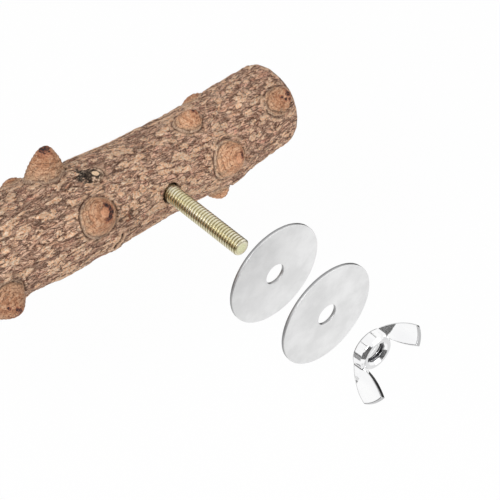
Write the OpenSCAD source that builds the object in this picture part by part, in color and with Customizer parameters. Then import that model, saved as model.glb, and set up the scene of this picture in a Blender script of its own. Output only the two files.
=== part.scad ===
// Bird perch: a prickly branch with its bark on, held to the cage wires by a hanger bolt,
// two large washers and a wing nut, which are drawn slid off along the bolt.
// +X runs along the branch and the bolt points to -Y. The origin is on the bolt's axis,
// in the plane where the inner washer meets the bark.

/* [Branch] */
// Length of the branch from cut to cut
branch_l = 150; // [120:1:200]
// Diameter over the bark where the bolt comes out
branch_d = 26.8; // [24:0.2:34]
// Thickness of the bark
bark_t = 1.8; // [1:0.1:2.5]
// Height of the broad lobes that run along the bark
lobe_h = 0.45; // [0:0.05:0.7]
// How far the branch wanders from a straight line
crook = 3.2; // [0:0.2:5]
// Length of the rounding at each cut end
end_round_l = 4.5; // [2:0.5:7]
// Depth of the rounding at each cut end
end_round_d = 3.2; // [1:0.2:4]

/* [Knobs] */
// Base diameter of a full-size corky knob
knob_d = 14; // [9:0.5:16]
// Height of a full-size corky knob
knob_h = 7.8; // [4:0.2:10]
// How much the bark swells up round each knob
collar_h = 0.7; // [0:0.1:1.2]
// Diameter of the pruned twig's stub
stub_d = 5.6; // [3:0.2:7]
// Height of the pruned twig's stub
stub_h = 1.2; // [0.6:0.1:2.5]

/* [Hanger bolt] */
// Diameter over the machine thread
stud_d = 5.9; // [4.8:0.1:8]
// Length of the machine thread that stands out of the branch
stud_l = 29; // [18:0.5:45]
// Chamfer at the tip of the machine thread
stud_chamfer = 0.7; // [0.2:0.1:1]
// Diameter of the neck and the wood screw
shank_d = 5.2; // [3.6:0.1:6]
// Depth that the wood screw reaches into the branch
shank_l = 19; // [12:0.5:20]
// Length of the wood screw's point
point_l = 5; // [2:0.5:8]
// Diameter of the hole drilled through the bark
bark_hole_d = 7.6; // [6.4:0.1:10]
// Height of the bolt above the middle of the branch
stud_rise = 2.6; // [0:0.1:4]

/* [Washers] */
// Outer diameter of a washer
washer_d = 31.5; // [22:0.5:40]
// Thickness of a washer
washer_t = 1; // [0.8:0.1:2]
// Play of a washer's hole round the bolt, across the diameter
washer_play = 0.5; // [0.3:0.1:1.5]
// Rounding of a washer's punched edges
washer_edge = 0.2; // [0.1:0.05:0.35]

/* [Wing nut] */
// Running play of the wing nut's bore round the bolt, across the diameter
nut_play = 0.1; // [0.04:0.02:0.18]
// Diameter of the hub at its seat
hub_base_d = 11.5; // [9.5:0.1:15]
// Diameter of the hub at its free end
hub_top_d = 10.9; // [9:0.1:13]
// Height of the hub
hub_h = 3.9; // [3.5:0.1:8]
// Chamfer at the hub's free end
hub_chamfer = 0.8; // [0.3:0.1:1]
// Depth of the countersink at the bore's free end
countersink = 0.7; // [0.2:0.1:0.9]
// Depth of the hollow in the hub's seat
seat_hollow_h = 1.4; // [0.4:0.1:1.8]
// Width of that hollow round the bore
seat_hollow_w = 1.2; // [0.5:0.1:1.4]
// Distance between the outer corners of the two wings
wing_span = 25.2; // [22:0.2:36]
// Height of the wings above the seat
wing_rise = 12.3; // [10:0.1:20]
// Width of a wing at its tip
wing_w = 5.6; // [4:0.1:8]
// Thickness of a wing at its tip
wing_t = 1.7; // [1.2:0.1:2.2]
// Turn of the wings about the bolt
wing_turn = 48; // [0:1:180]

/* [Spread] */
// Gap from the bolt's tip to the inner washer
tip_gap = 12.6; // [6:0.2:20]
// Gap between the two washers
washer_gap = 19.5; // [8:0.5:30]
// Gap from the outer washer to the wing nut
nut_gap = 15.4; // [6:0.2:20]

/* [Hidden] */
KNOBS = ["knob_top_left", "knob_front_left", "knob_front", "knob_top", "knob_front_right",
    "knob_right_end", "knob_under_right", "knob_back_left", "knob_back_right", "knob_back",
    "knob_rear_right", "knob_rear", "knob_far_left", "knob_left_end", "knob_back_far_left",
    "knob_rear_left"];

// Overrun of a cut past the face that it opens
cut_over = 1;
// Clearance between two curved pieces that lie in one another
skin_clear = 0.05;
// Facets of the exact round pieces
$fn = 96;

// Shape of the branch

// Share of the branch's length that lies to the left of the bolt
left_share = 0.657;
// Girth along the branch, as shares of its length and of its diameter at the bolt
girth_shares = [[0, 1.10], [0.14, 1.12], [0.28, 1.07], [0.41, 1.10], [0.52, 1.05],
    [0.65, 1], [0.76, 0.98], [0.9, 0.975], [1, 0.965]];
// Rise of the centre line, as shares of the length and of the crook
rise_shares = [[0, 0.45], [0.2, 0.1], [0.4, 0.05], [0.65, 0], [0.81, 0.08], [0.9, 0.55],
    [1, 0.9]];
// Sweep of the centre line away from the bolt's side, as shares of the length and of the crook
sweep_shares = [[0, 0.6], [0.25, 0.2], [0.5, 0], [0.8, 0], [1, 0.25]];
// Broad lobes of the bark: count round the branch, turns along it, start angle, share of lobe_h
lobe_shares = [[3, 1.1, 40, 0.45], [5, -0.8, 110, 0.3], [2, 2.3, 200, 0.25]];
// Wall of the bark that is left at the cut ends, as a share of its thickness
end_bark_share = 0.45;

// Each knob: place along the branch, angle round it from the bolt's side, base, height,
// stretch round the branch, lean along it, lean round it. All but the angle are shares.
knob_shares = [
    [0.441, 107, 0.88, 1, 0.9, 0.19, 0],
    [0.258, -17, 0.98, 0.7, 1.12, 0.06, 0.03],
    [0.48, 29, 0.88, 0.66, 1, 0.02, 0.22],
    [0.76, 86, 0.6, 0.52, 0.95, 0.19, -0.05],
    [0.8, 15, 0.76, 0.6, 1.2, 0.12, 0.2],
    [0.953, 47, 0.64, 0.42, 1, 0.2, 0.05],
    [0.8, -49, 0.58, 0.36, 0.9, 0.1, 0],
    [0.4, 140, 0.56, 0.2, 1, 0.05, 0],
    [0.831, 137, 0.56, 0.17, 1, 0.1, 0],
    [0.617, -152, 0.82, 0.68, 1, 0.1, 0.05],
    [0.9, -128, 0.72, 0.6, 1.05, 0.12, 0],
    [0.51, -110, 0.84, 0.7, 1, 0.08, 0.08],
    [0.19, 60, 0.98, 0.9, 1, 0.06, 0.05],
    [0.1, -64, 0.8, 0.66, 1.1, 0.05, 0.1],
    [0.163, 172, 0.82, 0.6, 0.95, 0.08, 0],
    [0.343, -160, 0.66, 0.52, 1, 0.1, 0]];
// Outline of a knob, as shares of its base radius and of its height, from the base up
knob_profile_shares = [[1, 0], [0.95, 0.16], [0.81, 0.4], [0.59, 0.66], [0.35, 0.88], [0.16, 0.98]];
// Depth of a knob's root before it is cut to the bark, as a share of its base radius
root_share = 0.3;
// Swellings of the bark alone, the first one round an old scar: place along the branch, angle
// round it, height as a share of collar_h, width as a share of knob_d
swelling_shares = [[0.525, -24, 1.3, 0.3], [0.844, -36, 1.5, 0.42], [0.297, -38, 1.5, 0.32]];
// Twig stub: place along the branch and angle round it
stub_shares = [0.517, 74];
// Stretch of the stub round the branch, and its outline as shares of its radius and its height
stub_stretch_share = 0.85;
stub_profile_shares = [[1, 0], [0.92, 0.55], [0.72, 0.92], [0.6, 1]];

// Facets of the branch: sides round it, spacing of its rings and every which ring the wood keeps
branch_sides = 32;
ring_step = 3.6;
ring_skip = 3;
knob_sides = 18;
round_steps = 4;

left_l = branch_l * left_share;
straight_l = branch_l - 2 * end_round_l;
ring_count = round(straight_l / ring_step);

function x_at(place) = branch_l * place - left_l;
function place_at(x) = (x + left_l) / branch_l;

// Smooth value at u between the rows of a table
function row_at(u, table, i = 0) =
    i >= len(table) - 2 || u < table[i + 1][0] ? i : row_at(u, table, i + 1);
function ease(t) = t * t * (3 - 2 * t);
function blend(u, table, i) =
    table[i][1] + (table[i + 1][1] - table[i][1])
        * ease(min(1, max(0, (u - table[i][0]) / (table[i + 1][0] - table[i][0]))));
function smooth(u, table) = blend(u, table, row_at(u, table));

// Length along the nearer rounding, 0 on the straight part and 1 at the cut
function end_at(x) =
    min(1, max(0, -x - left_l + end_round_l, x + left_l - branch_l + end_round_l) / end_round_l);
function end_drop(x) = end_round_d * (1 - sqrt(1 - pow(end_at(x), 2)));

function sum(list, i = 0) = i < len(list) ? list[i] + sum(list, i + 1) : 0;
function turn_between(a, b) = abs((a - b + 540) % 360 - 180);
function girth_r(x) = smooth(place_at(x), girth_shares) * branch_d / 2;
function lobes(x, a) = lobe_h * sum([for (w = lobe_shares)
    w[3] * sin(w[0] * a + 360 * w[1] * place_at(x) + w[2])]);

// Swelling of the bark round a spot of a given width
function swelling(x, a, place, angle, width) =
    exp(-(pow(x - x_at(place), 2) + pow(turn_between(a, angle) * PI / 180 * girth_r(x), 2))
        / pow(width, 2));
function collars(x, a) = collar_h * (
    sum([for (k = knob_shares) k[3] * swelling(x, a, k[0], k[1], k[2] * knob_d / 2)])
    + sum([for (s = swelling_shares) s[2] * swelling(x, a, s[0], s[1], s[3] * knob_d)]));

function bark_r(x, a) = girth_r(x) + lobes(x, a) + collars(x, a) - end_drop(x);
function wood_r(x) = girth_r(x) - lobe_h - bark_t
    - end_drop(x) * (1 - bark_t * (1 - end_bark_share) / end_round_d);

// Centre line: the bark's highest point under the washer lies in the plane y = 0
function sweep(x) = crook * smooth(place_at(x), sweep_shares);
function reach(x, a) = bark_r(x, a) * cos(a) - sweep(x) + sweep(0);
seat_reach = max([for (x = [-washer_d / 2 : washer_d / 16 : washer_d / 2])
    for (i = [-branch_sides / 4 : branch_sides / 4]) reach(x, i * 360 / branch_sides)]);
function centre_y(x) = seat_reach + sweep(x) - sweep(0);
function centre_z(x) = crook * smooth(place_at(x), rise_shares)
    - crook * smooth(left_share, rise_shares) - stud_rise;
function on_branch(x, a, r) = [x, centre_y(x) - r * cos(a), centre_z(x) + r * sin(a)];

// Places of the rings, from the left cut to the right one
rings = concat(
    [for (i = [0 : round_steps - 1]) -left_l + end_round_l * (1 - cos(90 * i / round_steps))],
    [for (i = [0 : ring_count]) -left_l + end_round_l + straight_l * i / ring_count],
    [for (i = [round_steps - 1 : -1 : 0])
        branch_l - left_l - end_round_l * (1 - cos(90 * i / round_steps))]);
wood_rings = [for (i = [0 : len(rings) - 1])
    if (i <= round_steps || i >= len(rings) - 1 - round_steps
        || (i - round_steps) % ring_skip == 0) rings[i]];

function side_angle(j) = 360 * j / branch_sides;
bark_points = [for (x = rings) for (j = [0 : branch_sides - 1])
    on_branch(x, side_angle(j), bark_r(x, side_angle(j)))];
wood_points = [for (x = wood_rings) for (j = [0 : branch_sides - 1])
    on_branch(x, side_angle(j), wood_r(x))];

// Triangles of a tube's wall: rows rings of sides points each, the first point being number at
function wall(at, rows, sides) = [for (i = [0 : rows - 2]) for (j = [0 : sides - 1])
    let (a = at + i * sides + j, b = at + i * sides + (j + 1) % sides)
    each [[a, b, b + sides], [a, b + sides, a + sides]]];
function flipped(faces) = [for (f = faces) [f[0], f[2], f[1]]];
// Triangles of a flat ring between an outer loop and an inner loop
function annulus(outer, inner, sides) = [for (j = [0 : sides - 1])
    let (k = (j + 1) % sides)
    each [[outer + j, inner + j, outer + k], [inner + j, inner + k, outer + k]]];
function cap(at, sides) = [for (j = [1 : sides - 2]) [at, at + j + 1, at + j]];

module bark() {
    inner = len(bark_points);
    last_bark = (len(rings) - 1) * branch_sides;
    last_wood = inner + (len(wood_rings) - 1) * branch_sides;
    color("#8a6a55")
        difference() {
            polyhedron(
                points = concat(bark_points, wood_points),
                faces = concat(
                    wall(0, len(rings), branch_sides),
                    flipped(wall(inner, len(wood_rings), branch_sides)),
                    annulus(0, inner, branch_sides),
                    flipped(annulus(last_bark, last_wood, branch_sides))),
                convexity = 4);
            bolt_hole(bark_hole_d, branch_d / 2);
        }
}

module wood_core() {
    last_wood = (len(wood_rings) - 1) * branch_sides;
    color("#d9b98c")
        difference() {
            polyhedron(
                points = wood_points,
                faces = concat(
                    wall(0, len(wood_rings), branch_sides),
                    cap(0, branch_sides),
                    flipped(cap(last_wood, branch_sides))),
                convexity = 2);
            bolt_hole(shank_d + 2 * skin_clear, shank_l - point_l + skin_clear);
            bolt_turned()
                polygon([[0, shank_l + skin_clear], [shank_d / 2 + skin_clear, shank_l - point_l],
                    [0, shank_l - point_l]]);
        }
}

// A hole from outside the bark to a depth below the seat
module bolt_hole(d, depth) {
    translate([0, depth, 0])
        rotate([90, 0, 0])
            cylinder(d = d, h = depth + cut_over);
}

// A profile of radius and depth below the seat, turned round the bolt's axis
module bolt_turned() {
    rotate([-90, 0, 0])
        rotate_extrude()
            children();
}

// Rings that lie within half a width of x
function near_rings(x, half) = [for (i = [0 : len(rings) - 1])
    if (rings[i] > x - half - ring_step && rings[i] < x + half + ring_step) i];

// The piece of the bark's own surface round a place, thick enough to cut a root away
module bark_patch(x, a, half_x, half_a, depth) {
    rows = near_rings(x, half_x);
    low = floor((a - half_a) * branch_sides / 360) - 1;
    sides = ceil(2 * half_a * branch_sides / 360) + 4;
    top = [for (i = rows) for (j = [0 : sides - 1])
        on_branch(rings[i], side_angle(low + j), bark_r(rings[i], side_angle(low + j)))];
    bottom = [for (i = rows) for (j = [0 : sides - 1])
        on_branch(rings[i], side_angle(low + j), bark_r(rings[i], side_angle(low + j)) - depth)];
    n = len(top);
    last = (len(rows) - 1) * sides;
    sheet = [for (i = [0 : len(rows) - 2]) for (j = [0 : sides - 2])
        let (p = i * sides + j)
        each [[p, p + 1, p + 1 + sides], [p, p + 1 + sides, p + sides]]];
    polyhedron(
        points = concat(top, bottom),
        faces = concat(
            sheet,
            [for (f = sheet) [f[0] + n, f[2] + n, f[1] + n]],
            [for (j = [0 : sides - 2]) each [[j, j + n, j + 1], [j + 1, j + n, j + 1 + n]]],
            [for (j = [0 : sides - 2]) let (p = last + j)
                each [[p, p + 1, p + n], [p + 1, p + 1 + n, p + n]]],
            [for (i = [0 : len(rows) - 2]) let (p = i * sides)
                each [[p, p + sides, p + n], [p + sides, p + sides + n, p + n]]],
            [for (i = [0 : len(rows) - 2]) let (p = i * sides + sides - 1)
                each [[p, p + n, p + sides], [p + sides, p + n, p + sides + n]]]),
        convexity = 4);
}

// A growth that follows the bark: rings laid over the branch's surface up to a tip, which
// leans away from the middle by a share of the growth's width
module growth(place, angle, radius, height, stretch, lean_x, lean_a, profile) {
    x = x_at(place);
    base_r = bark_r(x, angle);
    levels = concat([[1, -root_share * radius / height]], profile);
    function spot(level, phi) =
        let (h = height * level[1],
            lean = 2 * max(0, level[1]),
            dx = radius * (level[0] * cos(phi) + lean_x * lean),
            round_l = radius * (stretch * level[0] * sin(phi) + lean_a * lean),
            at_x = min(x + dx, branch_l - left_l - end_round_l / 2),
            at_a = angle + round_l / (base_r + max(0, h)) * 180 / PI)
        on_branch(at_x, at_a, bark_r(at_x, at_a) + h);
    count = len(levels) * knob_sides;
    half_a = radius * stretch * (1 + abs(lean_a)) / base_r * 180 / PI;
    difference() {
        polyhedron(
            points = concat(
                [for (level = levels) for (j = [0 : knob_sides - 1])
                    spot(level, 360 * j / knob_sides)],
                [spot([0, 1], 0)]),
            faces = flipped(concat(
                wall(0, len(levels), knob_sides),
                [for (j = [0 : knob_sides - 1]) let (p = count - knob_sides)
                    [p + j, p + (j + 1) % knob_sides, count]],
                cap(0, knob_sides))),
            convexity = 4);
        bark_patch(x, angle, radius, half_a, 2 * root_share * radius + cut_over);
    }
}

module knob(k) {
    s = knob_shares[k];
    color("#b98560")
        growth(s[0], s[1], s[2] * knob_d / 2, s[3] * knob_h, s[4], s[5], s[6],
            knob_profile_shares);
}

module twig_stub() {
    color("#5a4436")
        growth(stub_shares[0], stub_shares[1], stub_d / 2, stub_h, stub_stretch_share, 0, 0,
            stub_profile_shares);
}

// Machine-threaded stud, plain neck and wood screw with its point, as one turned piece
module hanger_bolt() {
    color("#b9b48a")
        bolt_turned()
            polygon([
                [0, -stud_l],
                [stud_d / 2 - stud_chamfer, -stud_l],
                [stud_d / 2, -stud_l + stud_chamfer],
                [stud_d / 2, 0],
                [shank_d / 2, 0],
                [shank_d / 2, shank_l - point_l],
                [0, shank_l]]);
}

// Quarter round of an edge, from one angle to another
function edge_round(centre, r, from) = [for (i = [0 : 3])
    centre + r * [cos(from + 30 * i), sin(from + 30 * i)]];

// A punched washer whose outer rim and hole have rounded edges, seated at y = 0
module washer(hole_d) {
    r = washer_d / 2 - washer_edge;
    h = hole_d / 2 + washer_edge;
    rotate([90, 0, 0])
        rotate_extrude()
            polygon(concat(
                edge_round([r, washer_edge], washer_edge, -90),
                edge_round([r, washer_t - washer_edge], washer_edge, 0),
                edge_round([h, washer_t - washer_edge], washer_edge, 90),
                edge_round([h, washer_edge], washer_edge, 180)));
}

inner_washer_y = -stud_l - tip_gap;
outer_washer_y = inner_washer_y - washer_t - washer_gap;
wing_nut_y = outer_washer_y - washer_t - nut_gap;

module inner_washer() {
    color("#d3d4d6")
        translate([0, inner_washer_y, 0])
            washer(stud_d + washer_play);
}

module outer_washer() {
    color("#d3d4d6")
        translate([0, outer_washer_y, 0])
            washer(stud_d + washer_play);
}

// Curve of a wing's edge through a start, a pull and an end point
function curve(a, b, c, steps) = [for (i = [0 : steps])
    let (t = i / steps) a * pow(1 - t, 2) + b * 2 * t * (1 - t) + c * pow(t, 2)];

// Outline of a wing from the axis outwards and from the seat up
wing_lean = 37;
wing_steps = 6;
corner_share = 0.1;
bulge_share = 0.2;
low_pull_shares = [0.43, 0.24];
high_pull_shares = [0.21, 0.61];
tip_out = [wing_span / 2, wing_rise - wing_w * sin(wing_lean)];
tip_in = [wing_span / 2 - wing_w * cos(wing_lean), wing_rise];
root_low = [hub_base_d / 2 - hub_chamfer, 0];
root_high = [hub_top_d / 2 - hub_chamfer / 2, hub_h - hub_chamfer];
low_pull = [wing_span * low_pull_shares[0], wing_rise * low_pull_shares[1]];
high_pull = [wing_span * high_pull_shares[0], wing_rise * high_pull_shares[1]];
tip_pull = (tip_out + tip_in) / 2
    + wing_w * bulge_share * [sin(wing_lean), cos(wing_lean)];
// Thickness of a wing where it leaves the hub, as a share of that at its tip
wing_root_share = 2.4;
wing_root_t = wing_root_share * wing_t;

function toward(a, b, share) = a + (b - a) * share;
function wing_outline() = concat(
    [[hub_top_d / 4, hub_h - hub_chamfer], [hub_top_d / 4, 0]],
    curve(root_low, low_pull, toward(tip_out, low_pull, corner_share), wing_steps),
    curve(toward(tip_out, low_pull, corner_share), tip_out,
        toward(tip_out, tip_pull, corner_share), wing_steps / 2),
    curve(toward(tip_out, tip_pull, corner_share), tip_pull,
        toward(tip_in, tip_pull, corner_share), wing_steps),
    curve(toward(tip_in, tip_pull, corner_share), tip_in,
        toward(tip_in, high_pull, corner_share), wing_steps / 2),
    curve(toward(tip_in, high_pull, corner_share), high_pull, root_high, wing_steps));

// Plan of a wing, which thins in a hollow curve from the hub out to the tip
function wing_side() = curve([hub_top_d / 4, wing_root_t / 2], [hub_base_d / 2, wing_t / 2],
    [wing_span / 2, wing_t / 2], wing_steps);

// One wing: its outline, cut to its plan
module wing() {
    intersection() {
        rotate([90, 0, 0])
            linear_extrude(height = wing_root_t, center = true)
                polygon(wing_outline());
        linear_extrude(height = wing_rise)
            polygon(concat(
                wing_side(),
                [for (i = [wing_steps : -1 : 0]) [wing_side()[i][0], -wing_side()[i][1]]]));
    }
}

module wing_nut() {
    bore_d = stud_d + nut_play;
    color("#e4e6ea")
        translate([0, wing_nut_y, 0])
            rotate([90, 0, 0])
                rotate([0, 0, wing_turn])
                    difference() {
                        union() {
                            cylinder(d1 = hub_base_d, d2 = hub_top_d, h = hub_h - hub_chamfer);
                            translate([0, 0, hub_h - hub_chamfer])
                                cylinder(d1 = hub_top_d, d2 = hub_top_d - 2 * hub_chamfer,
                                    h = hub_chamfer);
                            wing();
                            mirror([1, 0, 0])
                                wing();
                        }
                        translate([0, 0, -cut_over])
                            cylinder(d = bore_d, h = hub_h + 2 * cut_over);
                        cylinder(d1 = bore_d + 2 * seat_hollow_w, d2 = bore_d, h = seat_hollow_h);
                        translate([0, 0, hub_h - countersink])
                            cylinder(d1 = bore_d, d2 = bore_d + 2 * countersink, h = countersink);
                    }
}

wood_core();
bark();
for (k = [0 : len(KNOBS) - 1])
    knob(k);
twig_stub();
hanger_bolt();
inner_washer();
outer_washer();
wing_nut();
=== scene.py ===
"""Bird perch: the looks of a prickly branch, its bolt, washers and wing nut, round the fixed frame.

Shapes are worked out in millimetres in the part's own frame and written to meshes in metres.
The branch's own functions are those of the part's source, so each detailed piece lies on its solid.
"""

import math

import bpy
import numpy as np
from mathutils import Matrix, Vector


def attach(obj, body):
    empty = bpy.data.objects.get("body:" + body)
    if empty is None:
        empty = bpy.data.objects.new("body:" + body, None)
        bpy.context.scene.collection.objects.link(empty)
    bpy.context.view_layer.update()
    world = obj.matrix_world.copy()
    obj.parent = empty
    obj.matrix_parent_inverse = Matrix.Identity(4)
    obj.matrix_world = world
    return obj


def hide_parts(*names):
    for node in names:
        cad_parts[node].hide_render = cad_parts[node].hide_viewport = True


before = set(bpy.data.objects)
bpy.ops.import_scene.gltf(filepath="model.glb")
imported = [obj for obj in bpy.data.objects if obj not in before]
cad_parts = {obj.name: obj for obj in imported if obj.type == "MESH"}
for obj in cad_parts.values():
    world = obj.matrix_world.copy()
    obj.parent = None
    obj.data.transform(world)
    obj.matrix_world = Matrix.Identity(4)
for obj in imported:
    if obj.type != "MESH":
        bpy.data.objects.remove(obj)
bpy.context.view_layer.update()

MM = 0.001
rng = np.random.default_rng(11)


# Noise

PERM = np.tile(rng.permutation(256), 3)
GRADS = rng.normal(size=(256, 3))
GRADS /= np.linalg.norm(GRADS, axis=1)[:, None]
NOISE_GAIN = 1.7


def noise(p):
    """Gradient noise at points p of shape (..., 3), from about -1 to 1."""
    cell = np.floor(p).astype(int)
    f = p - cell
    u = f * f * f * (f * (f * 6 - 15) + 10)
    cell &= 255
    total = np.zeros(p.shape[:-1])
    for dx, dy, dz in np.ndindex(2, 2, 2):
        h = PERM[PERM[PERM[cell[..., 0] + dx] + cell[..., 1] + dy] + cell[..., 2] + dz]
        w = ((u[..., 0] if dx else 1 - u[..., 0])
             * (u[..., 1] if dy else 1 - u[..., 1])
             * (u[..., 2] if dz else 1 - u[..., 2]))
        total += w * ((f - (dx, dy, dz)) * GRADS[h]).sum(-1)
    return total * NOISE_GAIN


def layered(p):
    """Noise of two scales, the finer one half as strong."""
    return noise(p) + 0.5 * noise(2 * p + 17.3)


def step(low, high, v):
    """A smooth step from 0 at low to 1 at high."""
    t = np.clip((v - low) / (high - low), 0, 1)
    return t * t * (3 - 2 * t)


def bell(v, middle, width):
    """1 at the middle, and about a third at one width from it."""
    return np.exp(-((v - middle) / width) ** 2)


# The branch, as in the source

BRANCH_L, BRANCH_D, BARK_T, LOBE_H, CROOK = 150.0, 26.8, 1.8, 0.45, 3.2
END_L, END_D, END_BARK = 4.5, 3.2, 0.45
KNOB_D, KNOB_H, COLLAR_H = 14.0, 7.8, 0.7
STUB_D, STUB_H, STUB_STRETCH = 5.6, 1.2, 0.85
LEFT_SHARE, STUD_RISE, WASHER_D = 0.657, 2.6, 31.5
SIDES = 32
GIRTH = ((0, 1.10), (0.14, 1.12), (0.28, 1.07), (0.41, 1.10), (0.52, 1.05), (0.65, 1),
         (0.76, 0.98), (0.9, 0.975), (1, 0.965))
RISE = ((0, 0.45), (0.2, 0.1), (0.4, 0.05), (0.65, 0), (0.81, 0.08), (0.9, 0.55), (1, 0.9))
SWEEP = ((0, 0.6), (0.25, 0.2), (0.5, 0), (0.8, 0), (1, 0.25))
# waves round, turns along, start in degrees, strength
LOBES = ((3, 1.1, 40, 0.45), (5, -0.8, 110, 0.3), (2, 2.3, 200, 0.25))
# place, angle, base, height, stretch, lean along, lean round
KNOBS = {
    "knob_top_left": (0.441, 107, 0.88, 1, 0.9, 0.19, 0),
    "knob_front_left": (0.258, -17, 0.98, 0.7, 1.12, 0.06, 0.03),
    "knob_front": (0.48, 29, 0.88, 0.66, 1, 0.02, 0.22),
    "knob_top": (0.76, 86, 0.6, 0.52, 0.95, 0.19, -0.05),
    "knob_front_right": (0.8, 15, 0.76, 0.6, 1.2, 0.12, 0.2),
    "knob_right_end": (0.953, 47, 0.64, 0.42, 1, 0.2, 0.05),
    "knob_under_right": (0.8, -49, 0.58, 0.36, 0.9, 0.1, 0),
    "knob_back_left": (0.4, 140, 0.56, 0.2, 1, 0.05, 0),
    "knob_back_right": (0.831, 137, 0.56, 0.17, 1, 0.1, 0),
    "knob_back": (0.617, -152, 0.82, 0.68, 1, 0.1, 0.05),
    "knob_rear_right": (0.9, -128, 0.72, 0.6, 1.05, 0.12, 0),
    "knob_rear": (0.51, -110, 0.84, 0.7, 1, 0.08, 0.08),
    "knob_far_left": (0.19, 60, 0.98, 0.9, 1, 0.06, 0.05),
    "knob_left_end": (0.1, -64, 0.8, 0.66, 1.1, 0.05, 0.1),
    "knob_back_far_left": (0.163, 172, 0.82, 0.6, 0.95, 0.08, 0),
    "knob_rear_left": (0.343, -160, 0.66, 0.52, 1, 0.1, 0),
}
KNOB_PROFILE = ((1, 0), (0.95, 0.16), (0.81, 0.4), (0.59, 0.66), (0.35, 0.88), (0.16, 0.98))
# place, angle, height, width
SWELLINGS = ((0.525, -24, 1.3, 0.3), (0.844, -36, 1.5, 0.42), (0.297, -38, 1.5, 0.32))
STUB_PLACE, STUB_ANGLE = 0.517, 74
STUB_PROFILE = ((1, 0), (0.92, 0.55), (0.72, 0.92), (0.6, 1))
LEFT_L = BRANCH_L * LEFT_SHARE
RIGHT_L = BRANCH_L - LEFT_L


def x_at(place):
    return BRANCH_L * place - LEFT_L


def place_at(x):
    return (x + LEFT_L) / BRANCH_L


def smooth(u, table):
    """The value at u in a table, eased between its rows."""
    t = np.array(table)
    i = np.clip(np.searchsorted(t[:, 0], u, side="right") - 1, 0, len(t) - 2)
    f = np.clip((u - t[i, 0]) / (t[i + 1, 0] - t[i, 0]), 0, 1)
    return t[i, 1] + (t[i + 1, 1] - t[i, 1]) * f * f * (3 - 2 * f)


def end_at(x):
    """0 along the branch, rising to 1 at either cut end."""
    return np.clip(np.maximum(-x - LEFT_L + END_L, x - RIGHT_L + END_L) / END_L, 0, 1)


def end_drop(x):
    return END_D * (1 - np.sqrt(1 - end_at(x) ** 2))


def girth_r(x):
    return smooth(place_at(x), GIRTH) * BRANCH_D / 2


def turn_between(a, b):
    return (a - b + 540) % 360 - 180


def arc(x, a, angle):
    """Millimetres round the branch from an angle to a."""
    return np.radians(turn_between(a, angle)) * girth_r(x)


def swelling(x, a, place, angle, width):
    return np.exp(-((x - x_at(place)) ** 2 + arc(x, a, angle) ** 2) / width ** 2)


def bark_r(x, a):
    """Radius of the bark at x millimetres and angle a degrees, without its relief."""
    lobes = sum(s * np.sin(np.radians(n * a + 360 * t * place_at(x) + o))
                for n, t, o, s in LOBES)
    collars = sum(k[3] * swelling(x, a, k[0], k[1], k[2] * KNOB_D / 2) for k in KNOBS.values())
    collars += sum(s[2] * swelling(x, a, s[0], s[1], s[3] * KNOB_D) for s in SWELLINGS)
    return girth_r(x) + LOBE_H * lobes + COLLAR_H * collars - end_drop(x)


def wood_r(x):
    return girth_r(x) - LOBE_H - BARK_T - end_drop(x) * (1 - BARK_T * (1 - END_BARK) / END_D)


def sweep(x):
    return CROOK * smooth(place_at(x), SWEEP)


def seat_reach():
    """How far the bark under the washer reaches."""
    x = np.linspace(-WASHER_D / 2, WASHER_D / 2, 17)[:, None]
    a = (np.arange(-SIDES // 4, SIDES // 4 + 1) * 360 / SIDES)[None]
    return (bark_r(x, a) * np.cos(np.radians(a)) - sweep(x) + sweep(0.0)).max()


SEAT_REACH = seat_reach()


def centre_y(x):
    return SEAT_REACH + sweep(x) - sweep(0.0)


def centre_z(x):
    return CROOK * (smooth(place_at(x), RISE) - smooth(LEFT_SHARE, RISE)) - STUD_RISE


def on_branch(x, a, r):
    """Points at x, at angle a in degrees and at radius r."""
    c, s = np.cos(np.radians(a)), np.sin(np.radians(a))
    x, y, z = np.broadcast_arrays(x, centre_y(x) - r * c, centre_z(x) + r * s)
    return np.stack([x, y, z], -1)


# Meshes

def add_object(name, data):
    thing = bpy.data.objects.new(name, data)
    bpy.context.scene.collection.objects.link(thing)
    return thing


def make_piece(name, points, faces, body, material, fields, normals=None):
    """A smooth piece from points in millimetres. fields are one number per point."""
    mesh = bpy.data.meshes.new(name)
    mesh.from_pydata((np.asarray(points) * MM).tolist(), [], faces)
    mesh.polygons.foreach_set("use_smooth", [True] * len(mesh.polygons))
    for key, values in fields.items():
        layer = mesh.attributes.new(key, "FLOAT", "POINT")
        layer.data.foreach_set("value", np.asarray(values, np.float32).ravel())
    if normals is not None:
        mesh.normals_split_custom_set_from_vertices(normals.tolist())
    mesh.materials.append(material)
    mesh.update()
    piece = add_object(name, mesh)
    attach(piece, body)
    return piece


def grid_faces(rows, cols, closed_rows=False):
    """Quads between rows of points that each close round into a ring."""
    i = np.arange(rows if closed_rows else rows - 1)[:, None]
    j = np.arange(cols)[None]
    up, on = (i + 1) % rows, (j + 1) % cols
    quads = np.stack([i * cols + j, up * cols + j, up * cols + on, i * cols + on], -1)
    return quads.reshape(-1, 4).tolist()


def fan_faces(start, cols, tip, flip):
    """Triangles from a ring of points to one tip."""
    ring = [(start + j, start + (j + 1) % cols, tip) for j in range(cols)]
    return [(b, a, c) for a, b, c in ring] if flip else ring


def shell(grid, flip=False):
    """Points and faces of rings of points, closed at both ends by a middle point."""
    rows, cols = grid.shape[:2]
    points = np.concatenate([grid.reshape(-1, 3), grid[:1].mean(1), grid[-1:].mean(1)])
    faces = grid_faces(rows, cols)
    faces += fan_faces(0, cols, rows * cols, False)
    faces += fan_faces((rows - 1) * cols, cols, rows * cols + 1, True)
    return points, [f[::-1] for f in faces] if flip else faces


def full_turn(count):
    """A row of angles in radians, evenly round a ring."""
    return np.linspace(0, math.tau, count, endpoint=False)[None]


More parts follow.
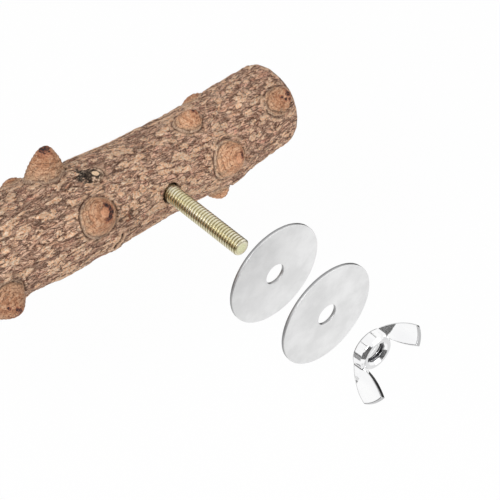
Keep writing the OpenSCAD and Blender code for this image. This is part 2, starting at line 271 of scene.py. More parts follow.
def rings(r, y, phi):
    """Points at radius r and place y round the stud's axis."""
    return np.stack(np.broadcast_arrays(r * np.cos(phi), y, r * np.sin(phi)), -1)


# Node materials

# most values of a noise node lie between these
NOISE_LOW, NOISE_HIGH = 0.3, 0.7


def srgb(r, g, b):
    """A colour written as 0-255 in sRGB, as linear numbers."""
    return tuple((c / 255 / 12.92) if c <= 10 else ((c / 255 + 0.055) / 1.055) ** 2.4
                 for c in (r, g, b))


class Nodes:
    """A node tree with short ways to add nodes.

    An input is a socket, a value, a colour of three numbers from 0 to 255 in sRGB, or the name of
    a field of the mesh.
    """

    def __init__(self, tree):
        self.tree = tree

    def feed(self, socket, value):
        if isinstance(value, str):
            value = self.node("Attribute", "Fac", {}, attribute_name=value)
        if isinstance(value, bpy.types.NodeSocket):
            self.tree.links.new(value, socket)
        elif socket.type == "RGBA" and isinstance(value, tuple) and len(value) == 3:
            socket.default_value = (*srgb(*value), 1)
        else:
            socket.default_value = value

    def node(self, kind, out, inputs, **settings):
        n = self.tree.nodes.new("ShaderNode" + kind)
        for key, value in settings.items():
            setattr(n, key, value)
        for key, value in inputs.items():
            self.feed(n.inputs[key], value)
        return n.outputs[out]

    def maths(self, op, a, b=0.0):
        return self.node("Math", 0, {0: a, 1: b}, operation=op)

    def vector(self, op, *inputs, out=0):
        return self.node("VectorMath", out, dict(enumerate(inputs)), operation=op)

    def plus(self, a, b):
        return self.maths("ADD", a, b)

    def minus(self, a, b):
        return self.maths("SUBTRACT", a, b)

    def times(self, a, b):
        return self.maths("MULTIPLY", a, b)


class Look(Nodes):
    """A node material on one Principled shader."""

    def __init__(self, name, **sockets):
        self.material = bpy.data.materials.new(name)
        self.material.use_nodes = True
        super().__init__(self.material.node_tree)
        self.shader = self.tree.nodes["Principled BSDF"]
        self.done(**sockets)

    def done(self, **sockets):
        for key, value in sockets.items():
            self.feed(self.shader.inputs[key.replace("_", " ")], value)
        return self.material

    def place(self, x=1, y=1, z=1):
        """Object coordinates in millimetres, each times its own number."""
        co = self.node("TexCoord", "Object", {})
        return self.vector("MULTIPLY", co, (x / MM, y / MM, z / MM))

    def noise(self, at, scale, detail, roughness=0.5, distortion=0.0):
        return self.node("TexNoise", 0, {"Vector": at, "Scale": scale, "Detail": detail,
                                         "Roughness": roughness, "Distortion": distortion})

    def between(self, v, low, high, to_low=0.0, to_high=1.0):
        """A smooth step from to_low at low to to_high at high."""
        return self.node("MapRange", 0, {"Value": v, "From Min": low, "From Max": high,
                                         "To Min": to_low, "To Max": to_high},
                         interpolation_type="SMOOTHSTEP")

    def spread(self, v, to_low, to_high):
        """A noise's usual range, spread from to_low to to_high."""
        return self.between(v, NOISE_LOW, NOISE_HIGH, to_low, to_high)

    def frayed(self, v, by, amount, *step):
        """A step of v, after a noise has shifted v by up to amount either way."""
        return self.between(self.plus(v, self.spread(by, -amount, amount)), *step)

    def mixed(self, mask, a, b, blend="MIX"):
        return self.node("Mix", 2, {0: mask, 6: a, 7: b}, data_type="RGBA", blend_type=blend)

    def coats(self, colour, *coats):
        """A colour under coats of paint: each has its mask, its paint and, if any, its share."""
        for mask, paint, *share in coats:
            if share:
                mask = self.times(mask, share[0])
            colour = self.mixed(mask, colour, paint)
        return colour

    def ramp(self, v, *stops):
        """Colours along v. Each stop has its place, red, green and blue."""
        n = self.tree.nodes.new("ShaderNodeValToRGB")
        self.feed(n.inputs[0], v)
        band = n.color_ramp
        while len(band.elements) < len(stops):
            band.elements.new(0.5)
        for e, (at, *colour) in zip(band.elements, stops):
            e.position, e.color = at, (*srgb(*colour), 1)
        return n.outputs[0]

    def bump(self, height, distance, strength):
        return self.node("Bump", 0, {"Height": height, "Distance": distance * MM, "Strength": strength})

    def finish(self, colour, rough, specular, *relief):
        return self.done(Base_Color=colour, Roughness=rough, Specular_IOR_Level=specular,
                         Normal=self.bump(*relief))


SPOT_EDGE, RIDGE_PALE, LINE_DARK, FURROW_DARK = (104, 74, 57), (240, 212, 186), (90, 62, 50), (92, 70, 57)
# the last of these colours is painted shade: the near-black inside the bolt's hole
LIP_PALE, CRACK_DARK, RUST_RED, HOLE_SHADE = (236, 196, 162), (50, 33, 24), (150, 84, 56), (30, 22, 17)


def bark_look():
    look = Look("bark")
    at = look.place()
    fibre = look.noise(look.place(0.24), 1.05, 5, 0.72, 0.8)
    weave = look.noise(look.place(0.34), 0.56, 2, 0.5, 1.2)
    small = look.noise(look.place(0.42), 1.05, 2, 0.5, 0.9)
    hue = look.noise(look.place(0.6), 0.3, 3, 0.6)
    grit = look.noise(at, 2.0, 3, 0.7)
    base = look.ramp(look.between(fibre, 0.34, 0.66), (0, 154, 108, 87), (0.35, 202, 153, 128),
                     (0.65, 229, 184, 159), (1, 246, 211, 187))
    tint = look.ramp(hue, (0.36, 255, 230, 226), (0.47, 255, 244, 228), (0.55, 246, 238, 234),
                     (0.66, 255, 234, 212))
    cork = look.ramp(look.between(grit, 0.32, 0.68), (0, 230, 162, 120), (0.4, 254, 206, 166),
                     (1, 255, 233, 208))
    worn = look.ramp(look.noise(at, 1.6, 4, 0.7), (0.36, 132, 94, 72), (0.5, 196, 150, 120),
                     (0.62, 236, 198, 162))
    crust = look.ramp(look.noise(at, 1.5, 3, 0.7), (0.45, 34, 27, 22), (0.54, 92, 78, 66),
                      (0.64, 170, 150, 132))
    ragged = look.plus("patch", look.spread(small, -0.36, 0))
    on_cork = look.between(ragged, 0.3, 0.44)
    # crackle: thin dark lines, each with a pale ridge beside it
    crackle = []
    relief = look.plus(fibre, look.times(grit, 0.5))
    for field, wide, share, deep in ((weave, 0.055, 0.84, 0.35), (small, 0.045, 0.68, 0.3)):
        off = look.maths("ABSOLUTE", look.minus(field, 0.5))
        line = look.between(off, wide, wide * 0.3)
        ridge = look.between(look.maths("ABSOLUTE", look.minus(off, wide * 1.9)), wide, 0)
        shown = look.between(on_cork, 0, 1, share, share * 0.2)
        crackle += [(ridge, RIDGE_PALE, look.times(shown, 0.55)), (line, LINE_DARK, shown)]
        relief = look.minus(relief, look.times(line, deep))
    colour = look.coats(
        look.mixed(1.0, base, tint, "MULTIPLY"),
        (look.between(ragged, 0.04, 0.24, 0, 0.58), SPOT_EDGE),
        (on_cork, cork, 0.93),
        *crackle,
        # the furrows darkened: partly the bark's own darker furrows, partly painted shade in their hollows
        (look.between("furrow", 0.3, 1), FURROW_DARK, 0.5),
        ("lip", LIP_PALE, 0.75),
        (look.frayed("wear", grit, 0.3, 0.45, 0.75), worn),
        ("crack", CRACK_DARK, 0.9),
        ("rust", RUST_RED, 0.85),
        (look.frayed("stain", small, 0.5, 0.4, 0.75), crust),
        # painted shade: the bolt's hole in the bark goes near-black
        ("hole", HOLE_SHADE))
    return look.finish(colour, look.spread(small, 0.72, 0.92), 0.28, relief, 0.55, 0.95)


# millimetres from one ring of a knob to the next, for its broad and its fine rings
RING_PITCH, FINE_RING_PITCH = 1.2, 0.52
FINE_RING, BROAD_RING, GRAIN_PALE, GRAIN_DARK = (154, 104, 76), (126, 82, 58), (240, 205, 174), (112, 74, 53)
NUB_ORANGE, SEAM_AND_SHADE, SPOT_RED = (228, 164, 126), (76, 52, 40), (184, 106, 78)


def knob_look():
    look = Look("knob")
    at = look.place()
    drift = look.between(look.noise(at, 0.45, 2), 0.2, 0.8, -3.5, 3.5)
    broad, fine = [look.maths("SINE", look.plus(look.times("ring", math.tau / pitch), drift))
                   for pitch in (RING_PITCH, FINE_RING_PITCH)]
    mottle = look.noise(at, 0.5, 3, 0.55)
    grain = look.noise(at, 2.0, 3, 0.65)
    line = look.times(look.between(broad, 0.72, 1), look.between(look.noise(at, 0.8, 2), 0.35, 0.55))
    body = look.ramp(look.spread(mottle, 0, 1), (0, 172, 119, 86), (0.45, 208, 153, 115),
                     (1, 229, 185, 150))
    foot = look.ramp(grain, (0.35, 170, 138, 110), (0.65, 216, 186, 154))
    skirt = look.ramp(grain, (0.34, 124, 98, 80), (0.5, 186, 156, 132), (0.66, 226, 198, 170))
    tone = look.ramp(look.plus(look.times("tone", 0.5), 0.5), (0, 208, 203, 200),
                     (1, 255, 255, 255))
    char = look.ramp(look.noise(at, 1.8, 3), (0.38, 34, 24, 26), (0.52, 70, 48, 44), (0.64, 134, 76, 54))
    colour = look.coats(
        body,
        (look.frayed("up", mottle, 0.25, 0.42, 0.18, 0, 0.75), foot),
        (look.between(fine, 0.3, 1), FINE_RING, 0.36),
        (line, BROAD_RING, 0.75),
        (look.between(grain, 0.56, 0.67, 0, 0.75), GRAIN_PALE),
        (look.between(grain, 0.44, 0.34, 0, 0.85), GRAIN_DARK),
        ("nub", NUB_ORANGE, look.frayed("up", mottle, 0.07, 0.78, 0.95, 0, 0.6)),
        (look.frayed("up", mottle, 0.06, 0.13, 0.07), skirt),
        # a dark seam near the foot, and painted shade in the ring under a nub
        ("seam_and_shade", SEAM_AND_SHADE, 0.8))
    colour = look.coats(
        look.mixed(1.0, colour, tone, "MULTIPLY"),
        (look.between("dark", 0.06, 0.4, 0, 0.34), SPOT_RED),
        (look.frayed("dark", grain, 0.3, 0.35, 0.65), char))
    relief = look.minus(look.times(grain, 0.7), look.times(line, 0.6))
    return look.finish(colour, look.spread(mottle, 0.6, 0.8), 0.32, relief, 0.2, 0.9)


def stub_look():
    look = Look("stub")
    at = look.place()
    grain = look.noise(at, 3.4, 3, 0.65)
    crust = look.ramp(look.noise(at, 1.5, 3, 0.7), (0.38, 86, 66, 53), (0.48, 156, 128, 106),
                      (0.58, 216, 188, 162))
    black = look.ramp(look.noise(at, 1.9, 3, 0.7), (0.5, 30, 22, 17), (0.66, 110, 94, 80))
    pale = look.ramp(grain, (0.3, 204, 166, 130), (0.7, 244, 218, 186))
    colour = look.coats(
        crust,
        (look.frayed("dark", grain, 0.3, 0.4, 0.6, 0, 0.95), black),
        (look.between("cut", 0.4, 0.6), pale))
    return look.finish(colour, 0.82, 0.25, grain, 0.2, 0.8)


YEAR_RING = 1.35
YEAR_TAN, RAY_TAN, PORE_BROWN, PITH_BROWN = (168, 126, 80), (180, 140, 94), (140, 102, 66), (92, 62, 42)


def wood_look():
    """Sawn end grain: rings round the pith, rays out of it and fine saw marks."""
    look = Look("wood")
    co = look.node("TexCoord", "Object", {})
    x = look.node("SeparateXYZ", 0, {0: co})
    left, right = [Vector((0, float(centre_y(end)) * MM, float(centre_z(end)) * MM))
                   for end in (-LEFT_L, RIGHT_L)]
    pith = look.node("MapRange", "Vector", {
        "Vector": look.node("CombineXYZ", 0, {0: x, 1: x, 2: x}),
        7: (-LEFT_L * MM,) * 3, 8: (RIGHT_L * MM,) * 3, 9: left, 10: right}, data_type="FLOAT_VECTOR")
    out = look.vector("SUBTRACT", co, pith)
    flat = look.vector("MULTIPLY", out, (0, 1 / MM, 1 / MM))
    away = look.vector("LENGTH", flat, out="Value")
    wobble = look.noise(look.place(), 0.25, 2)
    wave = look.plus(look.times(away, math.tau / YEAR_RING), look.between(wobble, 0.2, 0.8, -5, 5))
    ray = look.noise(look.vector("NORMALIZE", flat), 22.0, 3, 0.7)
    grain = look.noise(look.place(), 5.0, 3, 0.6)
    saw = look.noise(look.place(0.2, 0.35, 3), 1.2, 2)
    colour = look.coats(
        look.ramp(look.spread(wobble, 0, 1), (0, 212, 172, 126), (1, 234, 200, 156)),
        (look.between(look.maths("SINE", wave), 0.1, 1), YEAR_TAN, 0.55),
        (look.between(ray, 0.55, 0.72, 0, 0.5), RAY_TAN),
        (look.between(grain, 0.4, 0.3, 0, 0.5), PORE_BROWN),
        (look.between(away, 1.3, 0.7), PITH_BROWN))
    relief = look.plus(look.times(saw, 0.7), look.times(grain, 0.5))
    return look.finish(colour, look.spread(grain, 0.6, 0.8), 0.3, relief, 0.15, 0.7)


RUBBED_SHARE = 0.8


def metal_look(name, light, dark, edge, rough, cloud_scale, bump=0.0, tint=None):
    """Plated steel: tone and gloss that drift over the surface, with fine rubbing marks."""
    look = Look(name, Metallic=1.0)
    cloud = look.noise(look.place(1, 0.25), cloud_scale, 3, 0.6)
    marks = look.noise(look.place(), 3.0, 4, 0.7)
    rubbed = (*(RUBBED_SHARE * c for c in srgb(*dark)), 1)
    # the edge colour is painted shade: thread roots, washer rims, and the nut's rims, bore, seat and face
    coats = [(look.between(marks, 0.42, 0.3, 0, 0.3), rubbed), ("edge", edge)]
    if tint:
        coats.insert(1, ("tint", tint))
    colour = look.coats(look.ramp(look.spread(cloud, 0, 1), (0, *dark), (1, *light)), *coats)
    gloss = look.plus(look.spread(cloud, *rough), look.spread(marks, -0.03, 0.03))
    sockets = {"Normal": look.bump(marks, bump, 0.5)} if bump else {}
    return look.done(Base_Color=colour, Roughness=gloss, **sockets)


# Bark

# points along the bark and round it
NX, NA = 460, 288
# radius of the bolt's hole, and how near to its edge a point is moved onto it
HOLE_R, HOLE_PULL = 3.22, 0.36
# corky spots: degrees between rows, millimetres along a row, and how many half sizes one reaches
SPOT_ROW, SPOT_PITCH, SPOT_REACH = 13.5, 2.3, 1.6
# spots are large to the left of this place and small to its right, with this width of change
SMALL_X, SMALL_WIDTH = 12, 16
# radius at which the grain runs round the branch, its wander, and the degrees in a radian, rounded up
FLOW_R, FLOW_WANDER, RADIAN = 14, 1.1, 57.3
# x and angle of the healed slit and of the red fissure, and the slit's turn in radians
SLIT, FISSURE, SLIT_TURN = (-19.9, -16.2), (-16.1, 14), 0.88
# heights and depths of the relief, and how high it may stand in all and under the washer
BROAD_H, FURROW_DEEP, SPOT_H, LUMP_H, ALL_DEEP = 0.12, 0.3, 0.3, 0.07, 0.05
CRACK_DEEP, RIPPLE_H, SLIT_DEEP, LIP_H = 0.4, 0.12, 0.6, 0.28
RUST_DEEP, SPLIT_DEEP, STAIN_DEEP = 0.1, 0.3, 0.25
RELIEF_TOP, SEAT_LOWER, SEAT_R = 0.34, 0.14, 17


def outline_share(name, phi):
    """Uneven edge of a knob: its radius at an angle round it, as a share of the plain one."""
    seed = list(KNOBS).index(name) * 7.7 if name in KNOBS else 90.0
    p = np.stack([np.cos(phi) * 0.9 + seed, np.sin(phi) * 0.9, np.full_like(phi, seed)], -1)
    q = np.stack([np.cos(phi) * 2.6 + seed, np.sin(phi) * 2.6, np.full_like(phi, 3.3)], -1)
    return 1 + 0.075 * noise(p) + 0.04 * noise(q)


def from_edge(name, x, a, place, angle, radius, stretch):
    """Millimetres outside a growth's edge, negative inside it."""
    dx, dv = x - x_at(place), arc(x, a, angle) / stretch
    return np.hypot(dx, dv) - radius * outline_share(name, np.arctan2(dv, dx))


def swirl(x):
    """How far the bark's grain is turned round the branch, in degrees."""
    return 0.55 * np.clip(x, -20, 60) + 4 * np.sin(x / 23.0)


def turned(x, v, angle):
    """The place (x, v) in axes turned by an angle in radians."""
    c, s = math.cos(angle), math.sin(angle)
    return x * c + v * s, v * c - x * s


def cork_spots(x, a, edge_noise):
    """Corky spots in rows along the bark, from 0 to 1."""
    spots = np.zeros(edge_noise.shape)
    rows, columns = round(360 / SPOT_ROW), round(BRANCH_L / SPOT_PITCH)
    step_a = 360 / NA
    for number, (s0, s1, s2, s3, s4, s5) in enumerate(rng.random((rows * columns, 6))):
        row, column = divmod(number, columns)
        sx = -LEFT_L + (column + 0.5 + 0.9 * (s0 - 0.5)) * SPOT_PITCH
        small = 1 / (1 + math.exp(-(sx - SMALL_X) / SMALL_WIDTH))
        if s5 < 0.18 + 0.34 * (1 - small):
            continue
        sa = (row + (0.5 + 0.6 * small) * (s1 - 0.5)) * SPOT_ROW - float(swirl(sx))
        half_v = 0.6 + 0.42 * s2 + (0.48 + 0.42 * s2) * (1 - small)
        half_x = half_v * (0.95 + 0.85 * s3)
        i = np.nonzero(np.abs(x[:, 0] - sx) < half_x * SPOT_REACH)[0]
        span = int(half_v * SPOT_REACH / FLOW_R * RADIAN / step_a) + 1
        j = (int(round(sa / step_a)) + np.arange(-span, span + 1)) % NA
        ij = np.ix_(i, j)
        dx = (x[i] - sx) / half_x
        dv = arc(x[i], a[:, j], sa) / half_v
        slope = 0.5 * (s4 - 0.5)
        d = np.hypot(dx + slope * dv, dv) + 0.4 * edge_noise[ij]
        spots[ij] = np.maximum(spots[ij], step(1.35, 0.5, d) * (0.75 + 0.25 * s4))
    return spots


def bark_fields(x, a):
    """Relief in millimetres and colour fields over the bark."""
    turn = np.radians(a + swirl(x))
    flow = np.stack(np.broadcast_arrays(x, FLOW_R * np.cos(turn), FLOW_R * np.sin(turn)), -1)
    wander = [noise(flow * (0.06, 0.16, 0.16) + shift) for shift in (3.1, 31.7, 57.9)]
    flow = flow + FLOW_WANDER * np.stack(wander, -1)
    wide = 1 - 2.3 * np.abs(noise(flow * (0.075, 0.5, 0.5)))
    thin = 1 - 2.3 * np.abs(noise(flow * (0.17, 1.05, 1.05) + 9.2))
    left = step(8, -38, x)
    furrow = np.clip(step(0.55, 1.0, wide) * (0.45 + 0.55 * left)
                     + step(0.6, 1.0, thin) * (0.4 + 0.3 * left), 0, 1)
    broad = layered(flow * (0.05, 0.13, 0.13) + 5.5)
    lumps = layered(flow * (0.45, 1.5, 1.5) + 21.0)
    edge_noise = noise(flow * (0.8, 1.1, 1.1) + 40.0)
    patch = cork_spots(x, a, edge_noise) * (1 - 0.8 * furrow)

    # a crack and a ripple of the bark round each growth
    knobs = [from_edge(n, x, a, k[0], k[1], k[2] * KNOB_D / 2, k[4]) for n, k in KNOBS.items()]
    stub = from_edge("twig_stub", x, a, STUB_PLACE, STUB_ANGLE, STUB_D / 2, STUB_STRETCH)
    near = np.minimum.reduce([*knobs, stub])
    cracks = [bell(d, 0.12, 0.26) for d in knobs]
    broken = step(-0.45, 0.35, noise(flow * 0.35 + 77.0))
    crack = np.maximum.reduce([*cracks, 0.35 * bell(stub, 0.12, 0.26)]) * (0.3 + 0.7 * broken)
    ripple = bell(near, 0.95, 0.4)
    patch *= 1 - step(0.9, 0.1, near) * broken

    # dark weathered bark beside the pruned twig
    ux, uv = x - x_at(STUB_PLACE) + 2.1, arc(x, a, STUB_ANGLE) - 1.7
    stain = np.exp(-((ux / 2.9) ** 2 + (uv / 2.0) ** 2)) * 1.5
    stain = np.maximum(stain, 0.5 * bell(stub, 0.1, 0.5) * step(2.5, 0.5, ux))
    stain = stain + 0.6 * noise(flow * 0.7 + 63.0) * step(0.15, 0.5, stain)

    # the healed slit with its lips below the front knob, and the red fissure with a split beside it
    tx, tv = turned(x - SLIT[0], arc(x, a, SLIT[1]), SLIT_TURN)
    tv = tv + 0.12 * np.sin(1.9 * tx)
    slit = bell(tv, 0, 0.42) * step(2.9, 2.2, np.abs(tx))
    lips = bell(np.abs(tv), 1.05, 0.5) * step(3.8, 2.4, np.abs(tx))
    rx, rv = x - FISSURE[0] + 0.9 * edge_noise, arc(x, a, FISSURE[1])
    rust = bell(rx, 0, 0.42) * step(3.4, 1.6, np.abs(rv))
    split = bell(rx, 0.85, 0.3) * step(3.0, 1.8, np.abs(rv - 0.6))

    end = end_at(x) * np.ones_like(furrow)
    wear = step(0.7, 1.05, end + 0.25 * edge_noise) * 0.9
    relief = BROAD_H * broad - FURROW_DEEP * furrow + SPOT_H * patch + LUMP_H * lumps - ALL_DEEP
    relief = relief * (1 - 0.7 * end)
    relief += (-CRACK_DEEP * crack + RIPPLE_H * ripple - SLIT_DEEP * slit + LIP_H * lips
               - RUST_DEEP * rust - SPLIT_DEEP * split)
    relief -= STAIN_DEEP * np.clip(stain, 0, 1) * (0.5 + lumps)
    seat = np.exp(-(np.hypot(x, arc(x, a, 0)) / SEAT_R) ** 8)
    relief = np.minimum(relief, RELIEF_TOP - SEAT_LOWER * seat)
    patch *= 1 - step(0.2, 0.5, slit + lips + rust)
    return relief, {"patch": patch, "furrow": furrow * (1 - lips),
                    "crack": np.maximum(np.maximum(0.72 * crack, 1.4 * slit), split),
                    "stain": stain, "wear": wear, "rust": rust, "hole": np.zeros(patch.shape),
                    "lip": np.maximum(ripple * step(-0.5, 0.5, edge_noise + 0.5 - broken), 1.7 * lips)}


def bark_end(end_x, shares, a):
    """Rings of a cut end, from the bark's outside at share 0 to the wood at share 1."""
    rows = []
    x = np.array([[end_x]])
    inner = wood_r(x) * 0.994
    for s in shares:
        edge = on_branch(x, a, bark_r(x, a) * (1 - s) + inner * s)
        dip = 0.05 + 0.1 * np.abs(noise(edge * (0.0, 0.9, 0.9))) * math.sin(math.pi * min(s, 0.9))
        edge[..., 0] -= np.sign(end_x) * dip
        rows.append(edge)
    return np.concatenate(rows)


def make_bark(material):
    bend = END_L * (1 - np.cos(np.linspace(0, math.pi / 2, 15)[:-1]))
    straight = np.linspace(-LEFT_L + END_L, RIGHT_L - END_L, NX - 2 * len(bend))
    x = np.concatenate([-LEFT_L + bend, straight, (RIGHT_L - bend)[::-1]])[:, None]
    a = (np.arange(NA) * 360 / NA)[None]
    relief, fields = bark_fields(x, a)
    outer = on_branch(x, a, bark_r(x, a) + relief)

    # the bolt's hole: points by its edge are moved onto it, those inside it go down to the wood and are
    # painted near-black, as painted shade in the hole
    rho = np.hypot(outer[..., 0], outer[..., 2])
    front = np.abs(turn_between(a, 0)) < 60
    wood_y = on_branch(x, a, np.broadcast_to(wood_r(x), rho.shape) + 0.05)[..., 1]
    rim = front & (rho >= HOLE_R) & (rho < HOLE_R + HOLE_PULL)
    pit = front & (rho < HOLE_R)
    wall = pit & (rho > HOLE_R - HOLE_PULL)
    for mask, r in ((rim, HOLE_R), (wall, HOLE_R - 0.03)):
        scale = (r / np.maximum(rho, 1e-6))[mask]
        outer[mask, 0] *= scale
        outer[mask, 2] *= scale
    outer[pit, 1] = wood_y[pit]
    # the pit's floor carries the painted shade of the hole
    fields["hole"][pit] = 1

    shares = np.linspace(0.12, 1, 5)
    right = bark_end(RIGHT_L, shares, a)
    left = bark_end(-LEFT_L, shares, a)[::-1]
    inner_x = np.linspace(RIGHT_L - 0.6, -LEFT_L + 0.6, 60)[:, None]
    inner = on_branch(inner_x, a, np.broadcast_to(wood_r(inner_x) + 0.02, (60, NA)))
    grid = np.concatenate([outer, right, inner, left])
    for key in fields:
        tail = np.full((len(grid) - len(outer), NA), float(key == "wear"))
        fields[key] = np.concatenate([fields[key], tail])
    faces = grid_faces(len(grid), NA, closed_rows=True)
    piece = make_piece("bark_relief", grid.reshape(-1, 3), faces, "branch", material, fields)
    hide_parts("bark")


# Knobs and twig stub

# spots of dark cork on the knobs: along and round from the tip, radius, strength
DARK_SPOTS = {
    "knob_top_left": ((-0.9, -0.5, 1.9, 1.05), (0.4, -0.6, 0.9, 0.8)),
    "knob_front": ((1.3, 1.2, 0.9, 1.1), (2.0, -0.1, 1.15, 1.3), (2.0, -1.5, 1.25, 1.3),
                   (1.5, -2.6, 1.15, 1.1), (0.3, -3.1, 1.0, 0.85), (2.9, -1.6, 0.9, 0.9)),
    "knob_front_left": ((-0.4, 2.0, 0.6, 1.1), (0.5, 1.2, 0.7, 1.1), (1.0, 0.2, 0.65, 1.1),
                        (0.7, -0.9, 0.7, 1.1), (-0.5, -1.0, 0.55, 1.0), (-2.6, 2.6, 0.55, 1.0)),
    "knob_top": ((0.3, 0.3, 0.8, 0.9), (0.6, -0.9, 0.5, 0.8)),
    "knob_front_right": ((1.1, 0.3, 1.1, 1.1), (0.8, -1.2, 0.6, 0.7)),
    "knob_right_end": ((0.4, 0.2, 1.1, 1.0), (-1.0, -1.2, 0.7, 0.9), (0.4, -1.8, 0.7, 0.9),
                       (-2.0, 0.2, 0.55, 0.9)),
}
# from -1 for a darker knob to 1 for a lighter one
TONES = {"knob_top_left": -0.3, "knob_front_left": -0.75, "knob_front": -0.1, "knob_right_end": -0.2,
         "knob_top": 0.6, "knob_front_right": 0.6}
# a rounded knob, and one with a cone under a small blunt nub: share of its radius, of its height
ROUND_PROFILE = (*KNOB_PROFILE, (0.04, 1))
NUB_PROFILE = ((1, 0), (0.95, 0.155), (0.81, 0.38), (0.6, 0.62), (0.42, 0.77), (0.31, 0.835),
               (0.25, 0.9), (0.18, 0.985), (0.04, 1))
NUBBED = ("knob_front", "knob_front_right", "knob_rear", "knob_far_left", "knob_back")
KNOB_ROWS, KNOB_COLS, STUB_ROWS, STUB_COLS = 56, 88, 30, 60
# how far a growth goes down into the bark, as shares of its radius
ROOT_SHARES = (0.3, 0.12)
# depths of a knob's rings, dents, grain, facets, seam and dark pits
RING_DEEP, DENT_DEEP, GRAIN_DEEP, FACET_DEEP, SEAM_DEEP, PIT_DEEP = 0.16, 0.14, 0.08, 0.15, 0.2, 0.32
# height and half width of the seam near a knob's foot, and, as shares, of the dark ring under a nub, which
# is painted shade of its hollow
SEAM_H, SEAM_W, NUB_SEAM_SHARE, NUB_SEAM_W_SHARE = 0.7, 0.15, 0.85, 0.03


def curve_through(points, count):
    """Points along a smooth curve through the given ones, evenly spaced."""
    p = np.array(points, float)
    ghost = np.concatenate([[2 * p[0] - p[1]], p, [2 * p[-1] - p[-2]]])
    t = np.linspace(0, 1, 12, endpoint=False)[:, None]
    out = []
    for a, b, c, d in zip(ghost, ghost[1:], ghost[2:], ghost[3:]):
        out.append(0.5 * (2 * b + (c - a) * t + (2 * a - 5 * b + 4 * c - d) * t ** 2
                          + (3 * b - a - 3 * c + d) * t ** 3))
    out = np.concatenate([*out, p[-1:]])
    far = np.concatenate([[0], np.cumsum(np.hypot(*np.diff(out, axis=0).T))])
    at = np.linspace(0, far[-1], count)
    return np.stack([np.interp(at, far, out[:, i]) for i in (0, 1)], 1)


def grown(name, place, angle, radius, height, stretch, lean_x, lean_a, profile, rows, cols):
    """A growth on the bark: its points, and their profile share, rise, angle and place."""
    x, base_r = x_at(place), bark_r(np.array(x_at(place)), np.array(float(angle)))
    roots = [[1.0, -s * radius / height] for s in ROOT_SHARES]
    level = np.concatenate([roots, curve_through(profile, rows)])
    share, rise = level[:, :1], level[:, 1:]
    phi = full_turn(cols)
    h = height * rise
    lean = 2 * np.maximum(0, rise)
    edge = 1 + (outline_share(name, phi) - 1) * step(1.05, 0.2, rise)
    dx = radius * (share * edge * np.cos(phi) + lean_x * lean)
    dv = radius * (stretch * share * edge * np.sin(phi) + lean_a * lean)
    at_x = np.minimum(x + dx, RIGHT_L - END_L / 2)
    at_a = angle + np.degrees(dv / (base_r + np.maximum(0, h)))
    grid = on_branch(at_x, at_a, bark_r(at_x, at_a) + h)
    return grid, share, rise, phi, dx, dv


def out_of(grid):
    """Outward normals of a grid of rings."""
    along = np.gradient(grid, axis=0)
    across = np.roll(grid, -1, 1) - np.roll(grid, 1, 1)
    n = np.cross(across, along)
    return n / np.maximum(np.linalg.norm(n, axis=-1, keepdims=True), 1e-9)


def make_knob(name, number, material):
    place, angle, base, high, stretch, lean_x, lean_a = KNOBS[name]
    radius, height, nubbed = base * KNOB_D / 2, high * KNOB_H, name in NUBBED
    profile = NUB_PROFILE if nubbed else ROUND_PROFILE
    grid, _, rise, phi, dx, dv = grown(name, place, angle, radius, height, stretch, lean_x, lean_a,
                                       profile, KNOB_ROWS, KNOB_COLS)
    far = np.cumsum(np.linalg.norm(np.diff(grid, axis=0, prepend=grid[:1]), axis=-1)[::-1], 0)[::-1]
    drift = noise(grid * 0.35 + number * 3.3)
    coarse = noise(grid * 0.8 + number * 5.1)
    fine = noise(grid * 2.4 + number)
    ridge = 0.5 + 0.5 * np.sin(math.tau * far / RING_PITCH + 2.5 * drift)
    above = step(0.02, 0.16, rise)
    sides = 3 + number % 3
    facet = np.abs(np.sin(sides * phi / 2 + 1.3 * number + 0.8 * drift)) * step(0.95, 0.55, rise)
    dig = above * (RING_DEEP * ridge ** 2 + DENT_DEEP * np.abs(coarse) + GRAIN_DEEP * np.abs(fine)
                   + FACET_DEEP * facet)
    seam_and_shade = bell(rise * height - SEAM_H - 0.35 * drift, 0, SEAM_W)
    seam_and_shade = seam_and_shade * step(-0.5, 0.4, noise(grid * 0.3 + 8.0 + number))
    # under a nub: a dark ring of painted shade round its hollow, also dug in
    if nubbed:
        seam_and_shade = np.maximum(seam_and_shade, 0.45 * bell(rise, NUB_SEAM_SHARE, NUB_SEAM_W_SHARE)
                          * step(-0.6, 0.3, coarse))
    dark = np.zeros(far.shape)
    tip_x, tip_v = radius * 2 * lean_x, radius * 2 * lean_a
    spots = DARK_SPOTS.get(name, ((0.2, 0.1, 0.35 + 0.5 * rng.random(), 0.9),))
    for sx, sv, r, strength in spots:
        d = np.where(rise > 0.35, np.hypot(dx - tip_x - sx, dv - tip_v - sv) / r, 9.0)
        dark = np.maximum(dark, strength * bell(d, 0, 1))
    dig = dig + SEAM_DEEP * seam_and_shade + PIT_DEEP * dark * above * (0.8 + 0.3 * fine)
    points, faces = shell(grid - out_of(grid) * dig[..., None])
    fields = {"ring": far, "up": rise, "dark": dark, "seam_and_shade": seam_and_shade, "nub": float(nubbed),
              "tone": TONES.get(name, rng.uniform(-1, 1))}
    for key, v in fields.items():
        v = np.broadcast_to(v, far.shape)
        fields[key] = np.concatenate([v.ravel(), v[0, :1], v[-1, :1]])
    piece = make_piece(name + "_cork", points, faces, "branch", material, fields)
    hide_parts(name)


